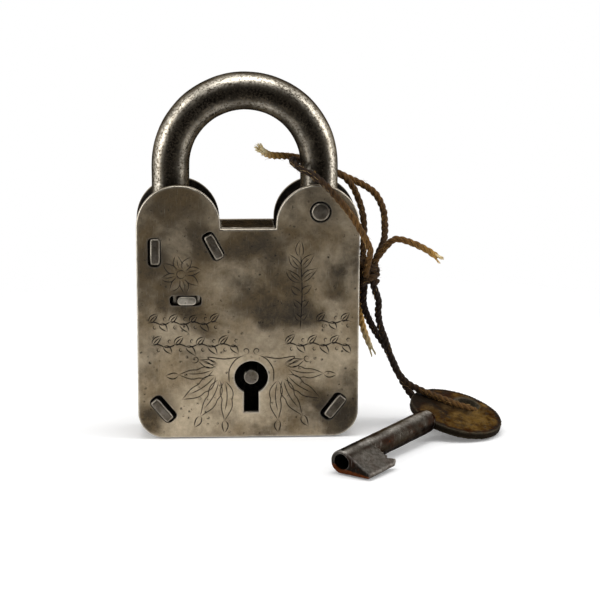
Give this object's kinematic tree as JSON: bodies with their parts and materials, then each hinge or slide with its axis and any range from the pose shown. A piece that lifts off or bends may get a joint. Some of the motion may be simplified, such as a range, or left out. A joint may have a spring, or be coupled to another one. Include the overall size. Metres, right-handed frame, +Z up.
{
  "type": "rusty padlock",
  "caption": "Old worn steel padlock with riveted plates and a swinging shackle, with its pipe key tied on by jute twine.",
  "frame": {"origin": "middle of the padlock case's flat bottom, at the height it stands on", "axes": "+Z up towards the shackle's arch, -Y towards the keyhole side, +X towards the shackle's pivot"},
  "size_m": [0.1253, 0.0724, 0.1239],
  "materials": {
    "plate_steel": "worn, tarnished mild steel plate with dark stains",
    "band_steel": "tarnished steel strip",
    "shackle_steel": "forged bar, pitted and polished by handling",
    "rivet_steel": "hammered ends with bright edges and dark gaps",
    "bolt_steel": "filed steel with brown oil stains",
    "spring_steel": "blued spring strip",
    "key_steel": "rolled sheet, dark grey with brown rust",
    "bow_steel": "plate with a brown and golden patina",
    "jute": "twisted jute, soiled brown"
  },
  "bodies": {
    "case": {"front_plate": "plate_steel", "back_plate": "plate_steel", "side_band": "band_steel", "saddle_strip": "band_steel", "swing_pin": "rivet_steel", "key_post": "rivet_steel", "toe_guide_outer": "rivet_steel", "toe_guide_inner": "rivet_steel", "lower_post_left": "rivet_steel", "lower_post_right": "rivet_steel", "bolt_guide_stud": "bolt_steel", "leaf_spring": "spring_steel", "leaf_stud": "bolt_steel", "leaf_stop_pin": "bolt_steel", "key_pipe": "key_steel", "key_bow": "bow_steel", "twine_long": "jute", "twine_short": "jute", "twine_knot": "jute"},
    "shackle": {"shackle": "shackle_steel"},
    "bolt": {"bolt": "bolt_steel", "bolt_tongue": "bolt_steel"}
  },
  "joints": [
    {"name": "shackle_swing", "type": "hinge", "parent": "case", "child": "shackle", "pos_m": [0.0242, 0, 0.078], "axis": [0, 1, 0], "range_deg": [0, 90]},
    {"name": "bolt_slide", "type": "slide", "parent": "case", "child": "bolt", "axis": [-1, 0, 0], "range_m": [-0.0015, 0.0023], "deforming": ["leaf_spring"]}
  ]
}
